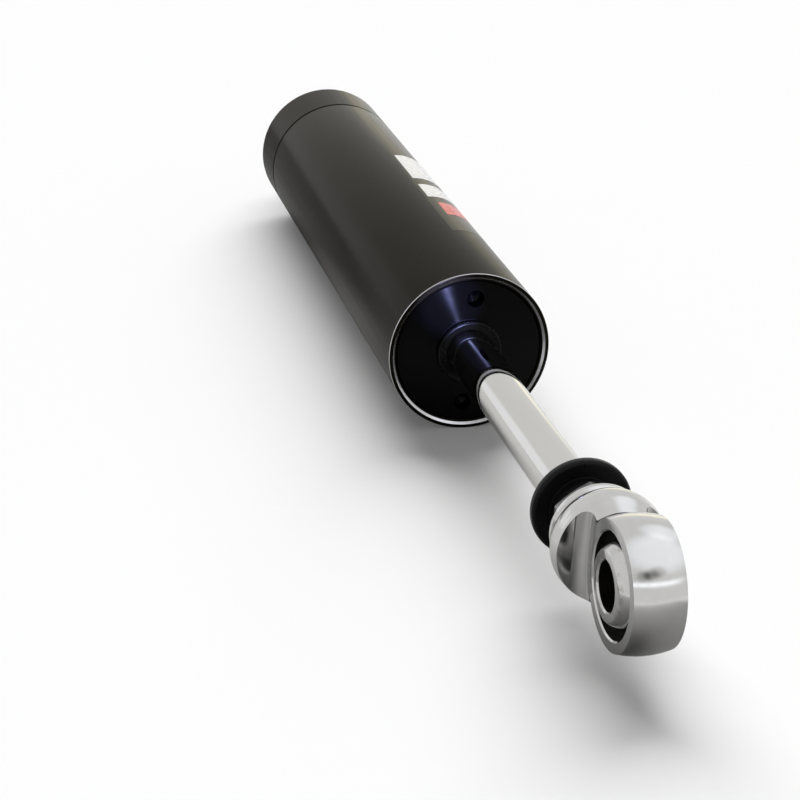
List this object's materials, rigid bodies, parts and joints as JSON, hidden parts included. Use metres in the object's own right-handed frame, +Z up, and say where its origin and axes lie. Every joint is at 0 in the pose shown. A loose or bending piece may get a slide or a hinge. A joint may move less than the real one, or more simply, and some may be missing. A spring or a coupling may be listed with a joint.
{
  "type": "shock absorber",
  "caption": "Twin-tube shock absorber with a sliding rod, rod guide, piston and foot valves, bump washer and a spherical bearing at each end.",
  "frame": {"origin": "centre of the bearing bore in the body eye", "axes": "+X along the rod from the body eye to the rod end, +Y along the bores of both eyes, +Z up as the shock lies on its side"},
  "size_m": [0.4245, 0.0508, 0.0508],
  "materials": {
    "body_paint": "gloss black coating with a brown cast",
    "guide_anodise": "black anodised, turned",
    "hard_chrome": "ground and polished hard chrome",
    "black_rubber": "smooth nitrile",
    "bump_nylon": "satin moulded nylon",
    "black_oxide": "black oxide",
    "plated_steel": "polished and plated",
    "race_nylon": "moulded black nylon",
    "ball_steel": "ground steel",
    "race_steel": "ground steel",
    "spring_steel": "blued spring steel",
    "bronze": "sintered bronze lining",
    "inner_steel": "drawn steel, oiled",
    "piston_alloy": "machined",
    "band_ptfe": "filled fluoroplastic",
    "bag_film": "heat-sealed nylon film"
  },
  "bodies": {
    "housing": {"body_tube": "body_paint", "base_cap": "body_paint", "base_oring": "black_rubber", "body_eye_snap_rings": "spring_steel", "foot_valve_body": "inner_steel", "foot_valve_discs": "spring_steel", "foot_valve_bolt": "inner_steel", "foot_valve_cup": "inner_steel", "foot_valve_nut": "inner_steel", "pressure_tube": "inner_steel", "gas_bag": "bag_film", "rod_guide": "guide_anodise", "guide_oring": "black_rubber", "guide_bushing": "bronze", "rod_seal": "black_rubber", "rod_wiper": "black_rubber"},
    "foot_check": {"foot_check_plate": "spring_steel", "foot_check_spring": "spring_steel"},
    "piston_band": {"piston_band": "band_ptfe"},
    "rod": {"piston_rod": "hard_chrome", "piston": "piston_alloy", "compression_discs": "spring_steel", "rebound_discs": "spring_steel", "top_out_washer": "inner_steel", "top_out_bumper": "black_rubber", "piston_spacer": "inner_steel", "piston_nut": "inner_steel", "bump_washer": "bump_nylon", "jam_nut": "black_oxide", "rod_end_body": "plated_steel"},
    "rod_end_race": {"rod_end_race": "race_nylon"},
    "rod_end_ball": {"rod_end_ball": "ball_steel"},
    "body_eye_race": {"body_eye_race": "race_steel"},
    "body_eye_ball": {"body_eye_ball": "ball_steel"}
  },
  "joints": [
    {"name": "rod_slide", "type": "slide", "parent": "housing", "child": "piston_band", "axis": [1, 0, 0], "range_m": [-0.1054, 0.0216]},
    {"name": "rod_spin", "type": "hinge", "parent": "piston_band", "child": "rod", "pos_m": [0.17, 0, 0], "axis": [1, 0, 0], "continuous": true},
    {"name": "rod_end_ball_turn", "type": "hinge", "parent": "rod", "child": "rod_end_race", "pos_m": [0.39096, 0, 0], "axis": [0, 1, 0], "continuous": true},
    {"name": "rod_end_ball_tilt", "type": "hinge", "parent": "rod_end_race", "child": "rod_end_ball", "pos_m": [0.39096, 0, 0], "axis": [1, 0, 0], "range_deg": [-15, 15]},
    {"name": "body_eye_ball_turn", "type": "hinge", "parent": "housing", "child": "body_eye_race", "pos_m": [0, 0, 0], "axis": [0, 1, 0], "continuous": true},
    {"name": "body_eye_ball_tilt", "type": "hinge", "parent": "body_eye_race", "child": "body_eye_ball", "pos_m": [0, 0, 0], "axis": [1, 0, 0], "range_deg": [-15, 15]},
    {"name": "foot_check_lift", "type": "slide", "parent": "housing", "child": "foot_check", "axis": [1, 0, 0], "range_m": [0, 0.001], "stiffness_N_per_m": 200}
  ]
}
